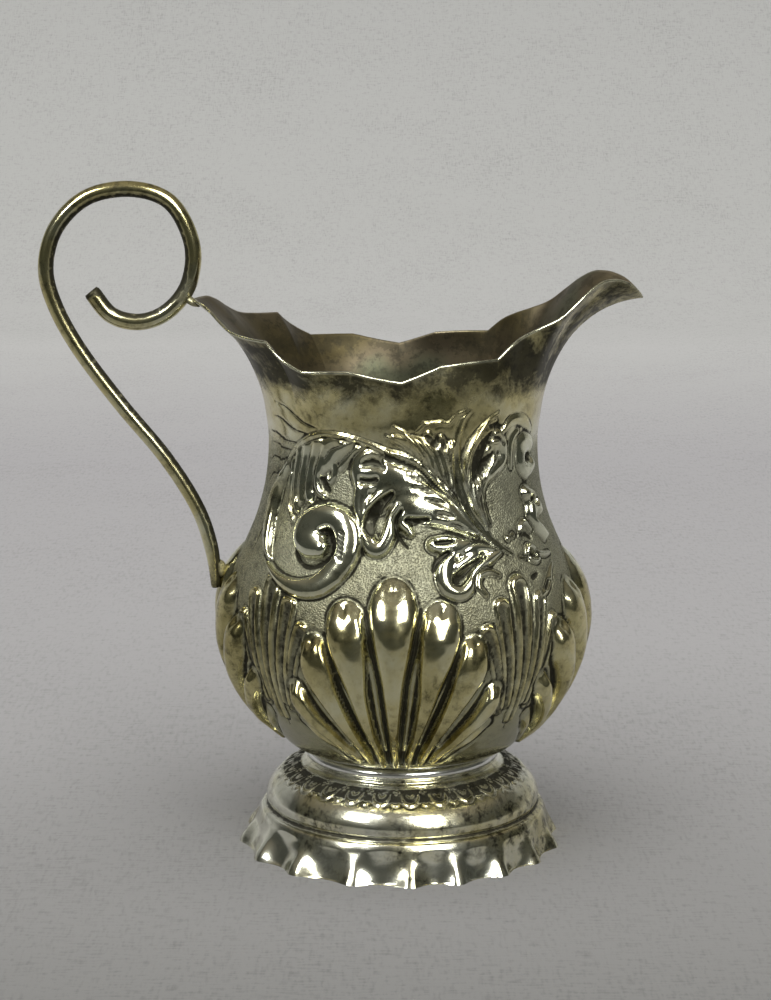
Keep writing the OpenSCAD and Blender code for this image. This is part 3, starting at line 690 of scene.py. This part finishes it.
def emboss_foot(relief):
    """A border of four-bead flowers between small shell arcs, on a band round the dome's top that is darkened
    by tarnish and by painted shade where it faces up.
    """
    step = 360 / BORDER_REPEATS
    from_border = np.abs(relief.arc[:, :1] - relief.arc_at(BORDER_Z))
    band = 1 - smoothstep(from_border, 1.3, 1.9)
    relief.matte = np.repeat(band, len(relief.turns), 1)
    # the whole band is dark all round: tarnish in the matted ground, with painted shade for its up-facing
    # slope
    relief.dirt = 0.9 * relief.matte
    least_dirt = 0.42 * relief.matte
    for i in range(BORDER_REPEATS):
        turn = i * step - 3.5
        for dt, z in ((-1.1, 12.3), (1.1, 12.3), (0, 12.5), (0, 12.1)):
            relief.raised([(turn + dt, z, 0.24)], 0.26, outline=0.04)
        half = turn + step / 2
        relief.raised([(half - 4.2, 12.1, 0.12), (half - 3.2, 11.5, 0.24), (half, 11.05, 0.34),
                       (half + 3.2, 11.5, 0.24), (half + 4.2, 12.1, 0.12)], 0.14, outline=0.08)
        for middle, ends_z, middle_z, ends_w, middle_w, height, outline in (
            (half, 12.05, 11.8, 0.2, 0.3, 0.09, 0.05), (turn, 11.3, 11.0, 0.14, 0.22, 0.14, 0.04),
        ):
            relief.raised([(middle - 1.6, ends_z, ends_w), (middle, middle_z, middle_w),
                           (middle + 1.6, ends_z, ends_w)], height, outline=outline)
    relief.dirt = np.maximum(relief.dirt, least_dirt)


def hem_height(turns, z):
    """Height of the folded hem over the plain profile: scooped flutes between narrow outward folds."""
    folds = np.array(FOLD_TURNS + (FOLD_TURNS[0] + 360,), float)
    turned = (turns - folds[0]) % 360 + folds[0]
    number = np.clip(np.searchsorted(folds, turned, side="right") - 1, 0, len(FOLD_TURNS) - 1)
    across = np.abs(2 * (turned - folds[number]) / (folds[number + 1] - folds[number]) - 1)[None, :]
    depth = rng.uniform(1.0, 1.5, len(FOLD_TURNS))[number][None, :]
    arch = 4.9 - 1.3 * across ** 3 + rng.uniform(-0.2, 0.2, len(FOLD_TURNS))[number][None, :]
    reach = np.clip((arch - z) / 4.4, 0, 1) ** 1.1
    flare = 1 - 0.14 * smoothstep(3.8 - z, 0, 3.8)
    scoop = np.clip(1 - (across / flare) ** 2, 0, 1) ** 1.35 * depth
    pinch = 0.2 * bump_at(1 - across, 0.27)
    hem = smoothstep(4.0 - z, 0, 3.5)
    splayed = 0.8 * smoothstep(5 - z, 0, 5) * smoothstep(-np.sin(np.radians(turns)), 0.2, 1)
    return pinch * hem - scoop * reach + splayed


def on_the_ground(points, ring):
    """No point lower than what the jug stands on, and one ring exactly on it."""
    points[..., 2] = np.maximum(points[..., 2], 0.0)
    points[ring, :, 2] = 0.0
    return points


def make_foot():
    columns = 760
    turns = all_turns(columns)
    profile = smooth_profile(FOOT_PROFILE, 0.14)
    flat = np.zeros((1, columns))
    r, z = profile[:, :1] + flat, profile[:, 1:] + flat
    smooth = to_xyz(r, z, turns)
    arc = arc_lengths(smooth)
    relief = Relief(turns, r, arc, lambda height: float(np.interp(height, profile[:, 1], arc[:, 0])))
    emboss_foot(relief)
    relief.finish()
    plain = hem_height(turns, z)
    uneven = 0.08 * wobble(*r.shape, 5, 14) + 0.03 * wobble(*r.shape, 14, 60)
    plain += uneven * (1 - smoothstep(z, 11.8, 12.8))
    height = relief.height + plain
    n = normals_of(smooth)
    n[:, :, 2] *= smoothstep(z, 0.0, 0.6)
    n /= np.linalg.norm(n, axis=-1, keepdims=True)
    outside = on_the_ground(smooth + n * height[..., None], 0)
    inside = on_the_ground((smooth + n * (plain - FOOT_WALL)[..., None])[::-1], -1)
    shoulder = outside[-1:].copy()
    shoulder[..., 2] = FOOT_TOP_Z
    top, under = (to_xyz(np.full((1, columns), FOOT_TOP_R), np.full((1, columns), level), turns)
                  for level in (FOOT_TOP_Z, FOOT_UNDER_Z))
    points = np.concatenate([outside, shoulder, top, under, inside, outside[:1]])
    dip = smoothstep(blurred(height, 10) - height, 0.02, 0.25)
    crease = bump_at(z - 6.25, 0.3)
    dirt = np.clip(np.maximum(np.maximum(relief.dirt, dip * 0.8), crease), 0, 1)

    def spread(out_value, in_value):
        return np.concatenate([out_value, np.zeros((3, columns)), in_value, np.zeros((1, columns))])

    nowhere = np.zeros_like(r)
    return grid_object(
        "fluted_foot", points, False,
        dirt=spread(dirt, dirt[::-1] * 0.5),
        matte=spread(relief.matte, nowhere),
        proud=spread(smoothstep(height, 0.0, 0.25), nowhere),
        inside=spread(nowhere, np.ones_like(r)),
    )


RING_COLUMNS = 240


def make_ring(name, outline):
    """A solid of revolution whose outline (radius, height) closes on itself."""
    p = np.array(outline + [outline[0]], float)
    flat = np.zeros((1, RING_COLUMNS))
    points = to_xyz(p[:, :1] + flat, p[:, 1:] + flat, all_turns(RING_COLUMNS))
    return grid_object(name, points, False)


def make_collar():
    bead = 1.05
    bulge = [(14.05 + bead * math.cos(t), 14.25 + (bead - 0.02) * math.sin(t))
             for t in np.radians(np.arange(-80, 76, 6))]
    return make_ring("bead_collar", [(12.6, 15.2), (12.6, 13.2)] + bulge + [(13.9, 15.2)])


def make_foot_solder():
    fillet = [(11.6 + math.sin(t), 14.2 + math.cos(t)) for t in np.radians(np.arange(0, 91, 9))]
    return make_ring("foot_solder_fillet", [(12.6, 15.2)] + fillet)


# ---------------------------------------------------------------- handle
HANDLE_PATH = [
    (-47.6, 86.7), (-44.5, 83), (-40, 82), (-35.7, 83.8), (-32.6, 88), (-32.1, 94), (-35.2, 100.1),
    (-41, 102.2), (-47.8, 101), (-52.6, 96.5), (-54.4, 90.5), (-53.2, 84.7), (-49.6, 77.8), (-43.5, 69.4),
    (-36.7, 61), (-31.9, 53.2), (-29.7, 46.5), (-29.1, 40.5),
]


WIRE_R, WIRE_SIDES = 1.3, 28
WEB_SHARE = 0.155  # how far along the wire the upper solder is


def make_handle():
    line = smooth_profile(HANDLE_PATH, 0.35)
    along = np.gradient(line, axis=0)
    along /= np.linalg.norm(along, axis=1, keepdims=True)
    across = np.stack([along[:, 1], -along[:, 0]], axis=1)
    share = np.linspace(0, 1, len(line))
    angle = 2 * np.pi * np.arange(WIRE_SIDES) / WIRE_SIDES
    radius = WIRE_R - 0.2 * share - 0.2 * smoothstep(share, 0.93, 1.0)
    flatten = 1 - 0.16 * smoothstep(share, 0.95, 1.0)
    rings = []
    for p, c, size, squeeze in zip(line, across, radius, flatten):
        out = size * np.cos(angle) * squeeze
        deep = size * np.sin(angle) / squeeze
        rings.append(np.stack([p[0] + out * c[0], deep, p[1] + out * c[1]], axis=-1))
    rings = np.array(rings)
    for ring, scale in ((0, 0.86), (1, 0.98), (-1, 0.86), (-2, 0.98)):
        middle = rings[ring].mean(0)
        rings[ring] = middle + (rings[ring] - middle) * scale
    rings = rings[:, ::-1]
    zero = np.zeros(rings.shape[:2])
    tip = bump_at(share, 0.008)[:, None] + zero
    low = smoothstep(share, 0.93, 1.0)[:, None] * 0.8 + zero
    web = bump_at(share - WEB_SHARE, 0.02)[:, None] + zero
    # painted shade: the inner side of the wire is darkened all along it, as if turned from the light; it goes
    # into the same attribute as the dark solder joints
    painted_inner_shade = 0.85 * smoothstep(-np.cos(angle[::-1])[None, :] + zero, 0.15, 0.65)
    return grid_object("scroll_handle", rings, True, dirt=np.clip(tip + low * 0.7 + web * 0.6 + painted_inner_shade, 0, 1))


def make_blob(name, centre, radii, tilt, lumps):
    """A small lump of solder: an ellipsoid with an uneven surface."""
    rows, columns = 28, 36
    up = np.linspace(-np.pi / 2, np.pi / 2, rows + 2)[1:-1, None]
    angle = 2 * np.pi * np.arange(columns)[None, :] / columns
    scale = 1 + lumps * wobble(rows, columns, 4, 6)
    x = scale * radii[0] * np.cos(up) * np.cos(angle)
    y = scale * radii[1] * np.cos(up) * np.sin(angle)
    z = scale * radii[2] * np.sin(up)
    c, s = math.cos(tilt), math.sin(tilt)
    turned = np.stack([c * x + s * z, y, c * z - s * x], axis=-1)
    return grid_object(name, turned + np.array(centre), True, dirt=np.full((rows, columns), 0.55))


# ---------------------------------------------------------------- materials
class Paint:
    """Makes the nodes of one material; a value is a number, a colour or the output of another node."""

    def __init__(self, tree, coordinates="Object"):
        self.tree = tree
        self.place = self.add("ShaderNodeTexCoord").outputs[coordinates]

    def add(self, kind, **inputs):
        made = self.tree.nodes.new(kind)
        for key, value in inputs.items():
            self.feed(made.inputs[key], value)
        return made

    def feed(self, socket, value):
        if isinstance(value, bpy.types.NodeSocket):
            self.tree.links.new(value, socket)
        else:
            socket.default_value = (*value, 1.0) if socket.type == "RGBA" else value

    def maths(self, operation, a, b):
        made = self.add("ShaderNodeMath")
        made.operation = operation
        self.feed(made.inputs[0], a)
        self.feed(made.inputs[1], b)
        return made.outputs[0]

    def times(self, a, b):
        return self.maths("MULTIPLY", a, b)

    def plus(self, a, b):
        return self.maths("ADD", a, b)

    def less(self, a, b):
        return self.maths("SUBTRACT", a, b)

    def larger(self, a, b):
        return self.maths("MAXIMUM", a, b)

    def mixed(self, factor, a, b):
        made = self.add("ShaderNodeMix")
        made.data_type = "RGBA"
        for socket, value in zip((made.inputs[0], made.inputs[6], made.inputs[7]), (factor, a, b)):
            self.feed(socket, value)
        return made.outputs[2]

    def ramp(self, factor, stops):
        made = self.add("ShaderNodeValToRGB", Fac=factor)
        elements = made.color_ramp.elements
        while len(elements) < len(stops):
            elements.new(0.5)
        for element, (position, value) in zip(elements, stops):
            element.position = position
            element.color = (value, value, value, 1) if isinstance(value, float) else (*value, 1)
        return made.outputs[0]

    def noise(self, scale, detail=4.0, rough=0.55, distortion=0.0, place=None):
        place = self.place if place is None else place
        made = self.add("ShaderNodeTexNoise", Vector=place, Scale=scale, Detail=detail, Roughness=rough,
                        Distortion=distortion)
        return made.outputs[0]

    def stretched(self, *scale):
        return self.add("ShaderNodeMapping", Vector=self.place, Scale=scale).outputs[0]

    def attribute(self, name):
        made = self.add("ShaderNodeAttribute")
        made.attribute_name = name
        return made.outputs["Fac"]

    def axis(self, number):
        return self.add("ShaderNodeSeparateXYZ", Vector=self.place).outputs[number]


SILVER = (0.86, 0.88, 0.71)
BRIGHT = (0.88, 0.89, 0.88)
STRAW = (0.70, 0.635, 0.34)
OLIVE = (0.34, 0.295, 0.12)
GROUND = (0.39, 0.385, 0.27)
PATINA_AND_SHADE = (0.022, 0.021, 0.014)
RAINBOW = [(0.34, (0.40, 0.31, 0.11)), (0.44, (0.44, 0.49, 0.31)), (0.50, (0.53, 0.41, 0.26)),
           (0.62, (0.36, 0.26, 0.08))]

# linen colour by how far back and up the cloth is: the darkening towards the front and the paling towards the
# back are painted light
LINEN_WITH_PAINTED_LIGHT = [(0.05, (0.150, 0.150, 0.141)), (0.2, (0.255, 0.253, 0.249)), (0.5, (0.305, 0.301, 0.303)),
         (0.75, (0.40, 0.40, 0.39)), (1.0, (0.365, 0.367, 0.353))]


def silver_material(name, tarnish=0.5, leaf_polish=0.0, ground=0.0, lip_stain=0.0, inside_stain=0.0,
                    roughness=0.09, grain=1.0, silver=SILVER, pitting=0.7):
    """Old silver: polished where it is proud, yellow to brown tarnish in clouds, black in the recesses, and
    black as painted shade on the handle's inner side and the foot's border.
    """
    material = bpy.data.materials.new(name)
    material.use_nodes = True
    tree = material.node_tree
    tree.nodes.clear()
    p = Paint(tree)
    shader = p.add("ShaderNodeBsdfPrincipled")
    tree.links.new(shader.outputs[0], p.add("ShaderNodeOutputMaterial").inputs[0])
    clouds = p.noise(70.0, 5.0, 0.6, 0.4)
    mottle = p.noise(330.0, 4.0, 0.6, 0.2)
    specks = p.noise(1700.0, 3.0, 0.6)
    dirt, matte = p.attribute("dirt"), p.attribute("matte")
    height = p.times(p.axis(2), 10.0)  # in decimetres, so that a ramp can read it
    cloudy = p.plus(clouds, p.times(mottle, 0.35))
    # tarnish: in clouds, least on the leaves of the shoulder, which get handled and polished
    leaves = p.ramp(height, [(0.40, 0.0), (0.50, leaf_polish), (0.62, leaf_polish), (0.69, 0.0)])
    amount = p.plus(p.less(cloudy, leaves), tarnish - 0.5)
    tarnished = p.ramp(amount, [(0.40, 0.1), (0.72, 1.0)])
    colour = p.mixed(tarnished, silver, STRAW)
    colour = p.mixed(p.ramp(amount, [(0.72, 0.0), (0.95, 1.0)]), colour, OLIVE)
    if ground:
        flat = p.times(p.less(1.0, p.attribute("proud")), ground)
        below = p.ramp(height, [(0.60, 1.0), (0.67, 0.0)])
        colour = p.mixed(p.times(flat, below), colour, GROUND)
    # black patina in the recesses, broken up by the mottle, and in the punched dots of the ground; the same
    # black is painted shade on the handle's inner side and the foot's border band
    punch = p.add("ShaderNodeTexVoronoi", Vector=p.place, Scale=3900.0).outputs["Distance"]
    spots = p.noise(1100.0, 2.0, 0.6)
    worn = p.plus(p.times(mottle, 0.6), p.times(spots, 1.3))
    black = p.ramp(p.times(dirt, worn), [(0.25, 0.0), (0.72, 0.96)])
    dots = p.ramp(punch, [(0.2, 0.68), (0.6, 0.22)])
    black = p.larger(black, p.times(dots, matte))
    if lip_stain:
        band = p.ramp(height, [(0.64, 0.0), (0.71, 0.32), (0.755, 0.85), (0.80, 0.7)])
        ragged = p.noise(210.0, 8.0, 0.72, 0.3)
        stain = p.ramp(p.plus(p.times(band, 0.62), ragged), [(0.78, 0.0), (0.90, 0.55), (1.06, 1.0)])
        black = p.larger(black, p.times(stain, lip_stain))
    if inside_stain:
        inside = p.attribute("inside")
        murk = p.plus(clouds, p.times(mottle, 0.4))
        murk = p.plus(murk, p.ramp(height, [(0.66, 0.0), (0.80, 0.3)]))
        murk = p.plus(murk, p.times(p.noise(160.0, 7.0, 0.7), 0.5))
        murk = p.ramp(murk, [(0.78, 0.40), (1.10, 0.92)])
        black = p.larger(black, p.times(p.times(murk, inside), inside_stain))
        colour = p.mixed(p.times(inside, 0.9), colour, p.ramp(p.noise(42.0, 2.0, 0.5), RAINBOW))
    # the edge of the lip is worn clean, and its front half is brightened further as a painted highlight
    edge = p.attribute("edge")
    black = p.times(black, p.less(1.0, edge))
    colour = p.mixed(p.times(edge, 0.8), colour, SILVER)
    colour = p.mixed(black, colour, PATINA_AND_SHADE)
    pits = p.ramp(p.noise(620.0, 8.0, 0.75), [(0.49, 0.0), (0.61, 0.9)])
    pits = p.times(pits, p.ramp(cloudy, [(0.52, 0.0), (0.76, 1.0)]))
    colour = p.mixed(p.times(pits, pitting), colour, PATINA_AND_SHADE)
    speckled = p.times(p.ramp(specks, [(0.60, 0.0), (0.72, 1.0)]), p.times(tarnished, 0.5))
    colour = p.mixed(p.times(speckled, p.less(1.0, black)), colour, OLIVE)
    rough = p.plus(p.times(tarnished, 0.05), roughness)
    for where, rougher in ((black, 0.30), (mottle, 0.07), (matte, 0.30)):
        rough = p.plus(rough, p.times(where, rougher))
    # surface: punched stipple on the matted ground, fine scratches and a hammered unevenness everywhere
    scratch = p.noise(1.0, 3.0, 0.7, place=p.stretched(900.0, 900.0, 5200.0))
    lift = p.times(p.times(punch, matte), 1.5)
    lift = p.plus(lift, p.times(scratch, 0.03 * grain))
    lift = p.plus(lift, p.times(mottle, 0.06 * grain))
    bump = p.add("ShaderNodeBump", Height=lift, Strength=0.55, Distance=0.00016)
    p.feed(shader.inputs["Base Color"], colour)
    p.feed(shader.inputs["Metallic"], p.less(1.0, p.times(black, 0.45)))
    p.feed(shader.inputs["Specular IOR Level"], p.less(0.5, p.times(black, 0.42)))
    p.feed(shader.inputs["Roughness"], rough)
    p.feed(shader.inputs["Normal"], bump.outputs[0])
    return material


def cloth_material():
    """Plain pale linen, with painted light: darker towards and over the front edge, paler where it rises
    behind the jug.
    """
    material = bpy.data.materials.new("linen")
    material.use_nodes = True
    tree = material.node_tree
    shader = tree.nodes["Principled BSDF"]
    p = Paint(tree)
    warp, weft = p.stretched(1500.0, 300.0, 300.0), p.stretched(300.0, 1500.0, 1500.0)
    weave = p.plus(p.noise(1.0, 2.0, place=warp), p.noise(1.0, 2.0, place=weft))
    slub = p.noise(25.0, 3.0, 0.6)
    # painted light: the linen's colour follows how far back and up the cloth is
    painted_light_position = p.plus(p.plus(p.axis(1), p.axis(2)), 0.15)
    shade = p.plus(p.times(weave, 0.55), p.times(slub, 0.2))
    colour = p.mixed(p.plus(shade, 0.35), (0.0, 0.0, 0.0), p.ramp(painted_light_position, LINEN_WITH_PAINTED_LIGHT))
    bump = p.add("ShaderNodeBump", Height=weave, Strength=0.3, Distance=0.0003)
    p.feed(shader.inputs["Base Color"], colour)
    p.feed(shader.inputs["Normal"], bump.outputs[0])
    shader.inputs["Roughness"].default_value = 0.95
    shader.inputs["Specular IOR Level"].default_value = 0.1
    return material


# ---------------------------------------------------------------- the pieces
body = make_body()
foot = make_foot()
collar = make_collar()
foot_solder = make_foot_solder()
handle = make_handle()
upper_solder = make_blob("upper_solder_web", (-32.3, 0, 85.2), (1.5, 0.85, 0.6), math.radians(32), 0.12)
lower_solder = make_blob("lower_solder_puddle", (-28.2, 0, 43.4), (0.7, 1.0, 1.3), math.radians(-8), 0.14)

body_silver = silver_material("embossed_silver", 0.56, leaf_polish=0.3, ground=0.85, lip_stain=0.92,
                              inside_stain=0.95)
foot_silver = silver_material("foot_silver", 0.31, roughness=0.13, silver=(0.84, 0.85, 0.75), pitting=1.0)
collar_silver = silver_material("collar_silver", -0.2, roughness=0.16, silver=BRIGHT, pitting=0.3)
wire_silver = silver_material("wire_silver", grain=0.4)
solder_silver = silver_material("dull_solder", roughness=0.34, grain=2.0)
DRESSING = [
    (body, body_silver, "embossed_body", "body_shell"),
    (foot, foot_silver, "foot_silver", "foot"),
    (collar, collar_silver, "foot_silver", "foot_collar"),
    (foot_solder, solder_silver, "solder", "foot_solder"),
    (handle, wire_silver, "handle_silver", "handle_wire"),
    (upper_solder, solder_silver, "solder", "upper_handle_solder"),
    (lower_solder, solder_silver, "solder", "lower_handle_solder"),
]
for piece, material, slot_name, cad_node in DRESSING:
    piece.data.materials.append(material)
    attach(piece, "root")
    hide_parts(cad_node)


# ---------------------------------------------------------------- stage and light
TABLE_EDGE = -0.215  # the jug mirrors the dark room in front of this edge
CLOTH_DROP, CLOTH_TOP, CLOTH_HALF_WIDTH = 0.6, 0.9, 2.5
BEND_START, BEND_RADIUS = 0.66, 0.35


def make_floor():
    """One sheet of cloth: over the table's front edge, flat under the jug, and curved up well behind it."""
    profile = [(TABLE_EDGE - 0.02, -CLOTH_DROP), (TABLE_EDGE, 0.0), (0.3, 0.0), (BEND_START, 0.0)]
    for t in np.radians(np.arange(6, 91, 6)):
        profile.append((BEND_START + BEND_RADIUS * math.sin(t), BEND_RADIUS * (1 - math.cos(t))))
    profile.append((BEND_START + BEND_RADIUS, CLOTH_TOP))
    vertices = [(side * CLOTH_HALF_WIDTH, y, z) for y, z in profile for side in (-1, 1)]
    faces = [(2 * i, 2 * i + 1, 2 * i + 3, 2 * i + 2) for i in range(len(profile) - 1)]
    mesh = bpy.data.meshes.new("floor")
    mesh.from_pydata(vertices, [], faces)
    mesh.polygons.foreach_set("use_smooth", [i > 0 for i in range(len(faces))])
    floor = bpy.data.objects.new("floor", mesh)
    bpy.context.scene.collection.objects.link(floor)
    mesh.materials.append(cloth_material())


def area_light(name, turn, elevation, distance, size, power, colour, mirrored=True, on_cloth=True):
    """A rectangle of light that faces the jug; it may be left out of what the silver mirrors,
    or out of what lights the cloth."""
    data = bpy.data.lights.new(name, "AREA")
    data.shape = "RECTANGLE"
    data.size, data.size_y = size
    data.energy = power
    data.color = colour
    light = bpy.data.objects.new(name, data)
    t, e = math.radians(turn), math.radians(elevation)
    light.location = (distance * math.sin(t) * math.cos(e), -distance * math.cos(t) * math.cos(e),
                      0.05 + distance * math.sin(e))
    light.rotation_euler = (math.pi / 2 - e, 0, t)
    light.visible_glossy = mirrored
    light.visible_diffuse = on_cloth
    bpy.context.scene.collection.objects.link(light)


# The room that the silver mirrors, from the horizon up to the ceiling, and the backdrop behind the cloth
ROOM = [(0.0, (0.045, 0.048, 0.042)), (0.40, (0.07, 0.07, 0.06)), (0.75, (0.20, 0.18, 0.14)),
        (1.0, (0.27, 0.25, 0.21))]
BACKDROP = (0.52, 0.51, 0.50)


def make_world():
    world = bpy.data.worlds.new("studio")
    world.use_nodes = True
    tree = world.node_tree
    tree.nodes.clear()
    p = Paint(tree, "Generated")
    room = p.add("ShaderNodeBackground", Color=p.ramp(p.axis(2), ROOM))
    backdrop = p.add("ShaderNodeBackground", Color=BACKDROP)
    chosen = p.add("ShaderNodeMixShader", Fac=p.add("ShaderNodeLightPath").outputs["Is Camera Ray"])
    p.feed(chosen.inputs[1], room.outputs[0])
    p.feed(chosen.inputs[2], backdrop.outputs[0])
    p.feed(p.add("ShaderNodeOutputWorld").inputs[0], chosen.outputs[0])
    bpy.context.scene.world = world


WINDOW_WHITE, CEILING_WHITE = (1.0, 1.0, 0.96), (0.99, 0.985, 1.0)
make_floor()
make_world()
area_light("window_left", -43, 37, 1.5, (0.36, 0.66), 16.0, WINDOW_WHITE, on_cloth=False)
area_light("window_right", 24, 34, 1.5, (0.60, 0.90), 23.0, WINDOW_WHITE, on_cloth=False)
area_light("ceiling_bounce", -8, 72, 1.8, (2.6, 2.6), 80.0, CEILING_WHITE, mirrored=False)
bpy.context.scene.view_settings.view_transform = "Standard"
